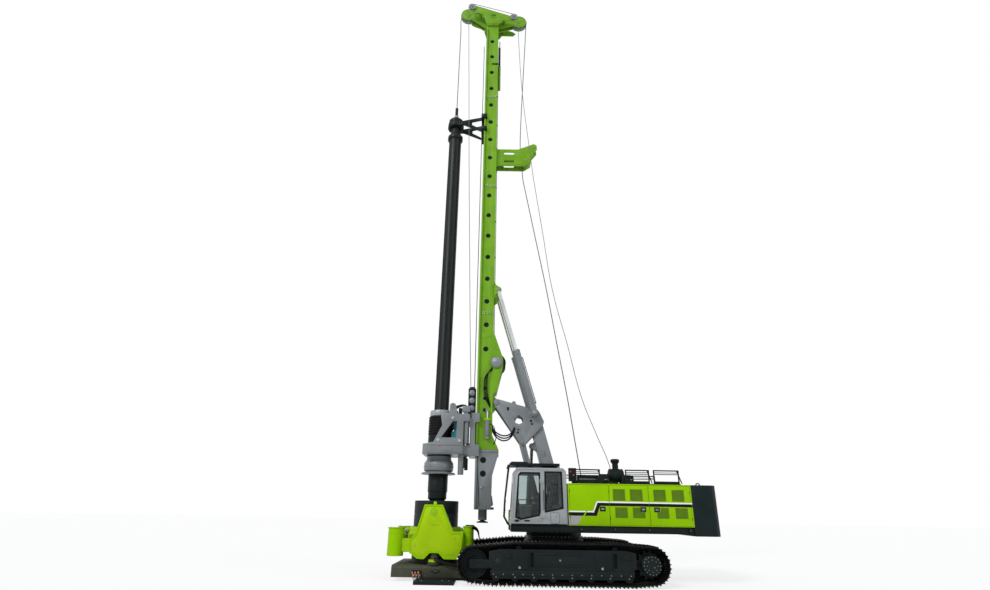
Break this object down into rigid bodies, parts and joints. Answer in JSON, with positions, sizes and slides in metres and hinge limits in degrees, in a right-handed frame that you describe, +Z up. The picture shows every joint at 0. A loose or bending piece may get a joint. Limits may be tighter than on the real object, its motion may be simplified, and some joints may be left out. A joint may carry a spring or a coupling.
{
  "type": "rotary piling rig",
  "caption": "Tracked rotary piling rig: a slewing upper with cab, hood and tail weight carries a tall mast with kelly bar and rotary drive over a casing oscillator.",
  "frame": {"origin": "on the ground, midway between the foremost and the rearmost point and on the middle plane of the tracks", "axes": "+Z up, -X the front that the mast and drill face, -Y the side of the cab"},
  "size_m": [9.858, 4.4, 23.905],
  "materials": {
    "lime": "bright lime enamel, satin",
    "mast_green": "green enamel, satin",
    "arm_grey": "blue-grey enamel, satin",
    "cab_grey": "grey enamel, satin",
    "frame_black": "black enamel, matt",
    "frame_dark": "charcoal enamel, matt",
    "matte_black": "black heat-proof paint",
    "track_steel": "worn dark steel",
    "casing_steel": "dark scuffed steel",
    "kelly_steel": "dark paint, scuffed",
    "cast_grey": "cast and machined, grey",
    "rod_chrome": "polished",
    "motor_teal": "teal enamel",
    "seat_fabric": "black woven cloth",
    "glass": "clear, slightly tinted",
    "rubber": "hoses and seals, matt",
    "wire_rope": "laid steel wire",
    "stripe_white": "white stripe, satin",
    "stripe_black": "black stripe, satin",
    "grille": "black wire mesh",
    "fitting_steel": "zinc-plated bolts and couplings",
    "lamp_lens": "clear lamp lens",
    "signal_red": "red enamel"
  },
  "bodies": {
    "undercarriage": {"car_body": "frame_black", "track_left": "track_steel", "track_frame_left": "frame_black", "sprocket_left": "frame_dark", "idler_left": "frame_dark", "track_right": "track_steel", "track_frame_right": "frame_black", "sprocket_right": "frame_dark", "idler_right": "frame_dark", "coupler_frame": "frame_black", "oscillator_base": "frame_dark"},
    "oscillator": {"oscillator_frame": "lime"},
    "clamp": {"clamp_collar": "lime", "casing_tube": "casing_steel"},
    "upper": {"slew_frame": "frame_black", "cab_shell": "cab_grey", "cab_guard": "frame_black", "operator_seat": "seat_fabric", "hood_shell": "frame_dark", "side_box": "lime", "engine_block": "cast_grey", "counterweight": "frame_dark", "railing_left": "frame_black", "railing_right": "frame_black", "air_cleaner": "matte_black", "exhaust": "matte_black"},
    "door_cab": {"cab_door": "cab_grey"},
    "door_left_front": {"hood_door_left_front": "lime"},
    "door_left_middle": {"hood_door_left_middle": "lime"},
    "door_left_rear": {"hood_door_left_rear": "lime"},
    "door_right_middle": {"hood_door_right_middle": "lime"},
    "door_right_rear": {"hood_door_right_rear": "lime"},
    "main_winch": {"main_winch_drum": "cast_grey"},
    "aux_winch": {"aux_winch_drum": "cast_grey"},
    "boom": {"boom_arm": "arm_grey"},
    "link": {"support_link": "arm_grey"},
    "delta": {"delta_frame": "arm_grey"},
    "luff_tube": {"luff_ram_tube": "arm_grey"},
    "luff_rod": {"luff_ram_rod": "rod_chrome"},
    "mast_tubes": {"mast_ram_tubes": "arm_grey"},
    "mast_rods": {"mast_ram_rod_left": "rod_chrome", "mast_ram_rod_right": "rod_chrome"},
    "mast": {"mast": "mast_green", "lower_mast": "arm_grey", "mast_head": "mast_green", "rope_guide": "mast_green"},
    "sheave_front": {"head_sheave_front": "cast_grey"},
    "sheave_rear": {"head_sheave_rear": "cast_grey"},
    "crowd_drum": {"crowd_winch_drum": "cast_grey"},
    "drive": {"drive_frame": "arm_grey", "drive_motors": "motor_teal"},
    "sleeve": {"drive_sleeve": "frame_dark"},
    "guide": {"kelly_guide": "frame_black"},
    "kelly": {"kelly_bar": "kelly_steel"}
  },
  "joints": [
    {"name": "slew", "type": "hinge", "parent": "undercarriage", "child": "upper", "pos_m": [0.159, 0, 1.229], "axis": [0, 0, 1], "range_deg": [-100, 100]},
    {"name": "oscillator_lift", "type": "slide", "parent": "undercarriage", "child": "oscillator", "axis": [0, 0, 1], "range_m": [0, 0.5]},
    {"name": "casing_twist", "type": "hinge", "parent": "oscillator", "child": "clamp", "pos_m": [-3.591, 0, 1.25], "axis": [0, 0, 1], "range_deg": [-12.5, 12.5]},
    {"name": "cab_door_hinge", "type": "hinge", "parent": "upper", "child": "door_cab", "pos_m": [-0.317, -1.522, 2.3], "axis": [0, 0, 1], "range_deg": [0, 90]},
    {"name": "hood_door_left_front_hinge", "type": "hinge", "parent": "upper", "child": "door_left_front", "pos_m": [0.505, -1.5, 2.13], "axis": [0, 0, -1], "range_deg": [0, 90]},
    {"name": "hood_door_left_middle_hinge", "type": "hinge", "parent": "upper", "child": "door_left_middle", "pos_m": [1.69, -1.5, 2.13], "axis": [0, 0, -1], "range_deg": [0, 90]},
    {"name": "hood_door_left_rear_hinge", "type": "hinge", "parent": "upper", "child": "door_left_rear", "pos_m": [4.118, -1.5, 2.13], "axis": [0, 0, 1], "range_deg": [0, 90]},
    {"name": "hood_door_right_middle_hinge", "type": "hinge", "parent": "upper", "child": "door_right_middle", "pos_m": [1.69, 1.5, 2.13], "axis": [0, 0, -1], "range_deg": [-90, 0]},
    {"name": "hood_door_right_rear_hinge", "type": "hinge", "parent": "upper", "child": "door_right_rear", "pos_m": [4.118, 1.5, 2.13], "axis": [0, 0, 1], "range_deg": [-90, 0]},
    {"name": "main_winch_turn", "type": "hinge", "parent": "upper", "child": "main_winch", "pos_m": [0.899, 0, 2.44], "axis": [0, -1, 0], "continuous": true},
    {"name": "aux_winch_turn", "type": "hinge", "parent": "upper", "child": "aux_winch", "pos_m": [1.719, 0, 2.43], "axis": [0, -1, 0], "continuous": true},
    {"name": "boom_luff", "type": "hinge", "parent": "upper", "child": "boom", "pos_m": [0.183, 0, 2.6], "axis": [0, -1, 0], "range_deg": [-12, 5]},
    {"name": "link_swing", "type": "hinge", "parent": "upper", "child": "link", "pos_m": [-0.207, 0, 1.66], "axis": [0, -1, 0], "range_deg": [-12.05, 5.05]},
    {"name": "delta_level", "type": "hinge", "parent": "boom", "child": "delta", "pos_m": [-0.441, 0, 4.98], "axis": [0, -1, 0], "range_deg": [-5.05, 12.05]},
    {"name": "luff_ram_swing", "type": "hinge", "parent": "upper", "child": "luff_tube", "pos_m": [-0.641, 0, 1.72], "axis": [0, -1, 0], "range_deg": [-7.02, 2.95]},
    {"name": "luff_ram_stroke", "type": "slide", "parent": "luff_tube", "child": "luff_rod", "axis": [0.0627, 0, 0.998], "range_m": [-0.06446, 0.15401]},
    {"name": "mast_tilt", "type": "hinge", "parent": "delta", "child": "mast", "pos_m": [-1.711, 0, 5.35], "axis": [0, -1, 0], "range_deg": [-5, 5]},
    {"name": "mast_ram_swing", "type": "hinge", "parent": "delta", "child": "mast_tubes", "pos_m": [-0.441, 0, 4.98], "axis": [0, -1, 0], "range_deg": [-4.28, 4.28]},
    {"name": "mast_ram_stroke", "type": "slide", "parent": "mast_tubes", "child": "mast_rods", "axis": [-0.2736, 0, 0.9619], "range_m": [-0.09908, 0.09908]},
    {"name": "front_sheave_turn", "type": "hinge", "parent": "mast", "child": "sheave_front", "pos_m": [-3.241, 0, 23.53], "axis": [0, -1, 0], "continuous": true},
    {"name": "rear_sheave_turn", "type": "hinge", "parent": "mast", "child": "sheave_rear", "pos_m": [-0.911, 0, 23.12], "axis": [0, -1, 0], "continuous": true},
    {"name": "crowd_drum_turn", "type": "hinge", "parent": "mast", "child": "crowd_drum", "pos_m": [-1.729, 0, 6.73], "axis": [0, -1, 0], "continuous": true},
    {"name": "crowd", "type": "slide", "parent": "mast", "child": "drive", "axis": [0, 0, 1], "range_m": [-0.6, 6]},
    {"name": "kelly_hoist", "type": "slide", "parent": "mast", "child": "guide", "axis": [0, 0, 1], "range_m": [-2.15, 3]},
    {"name": "kelly_turn", "type": "hinge", "parent": "guide", "child": "kelly", "pos_m": [-3.591, 0, 10], "axis": [0, 0, 1], "continuous": true},
    {"name": "sleeve_turn", "type": "hinge", "parent": "drive", "child": "sleeve", "pos_m": [-3.591, 0, 3.8], "axis": [0, 0, 1], "continuous": true}
  ],
  "couplings": [
    {"joint": "link_swing", "follows": "boom_luff", "ratio": 1},
    {"joint": "delta_level", "follows": "boom_luff", "ratio": -1},
    {"joint": "luff_ram_swing", "follows": "boom_luff", "ratio": 0.58072},
    {"joint": "luff_ram_stroke", "follows": "boom_luff", "m_per_rad": -0.73294},
    {"joint": "mast_ram_swing", "follows": "mast_tilt", "ratio": 0.8457},
    {"joint": "mast_ram_stroke", "follows": "mast_tilt", "m_per_rad": 1.1297},
    {"joint": "sleeve_turn", "follows": "kelly_turn", "ratio": 1}
  ]
}
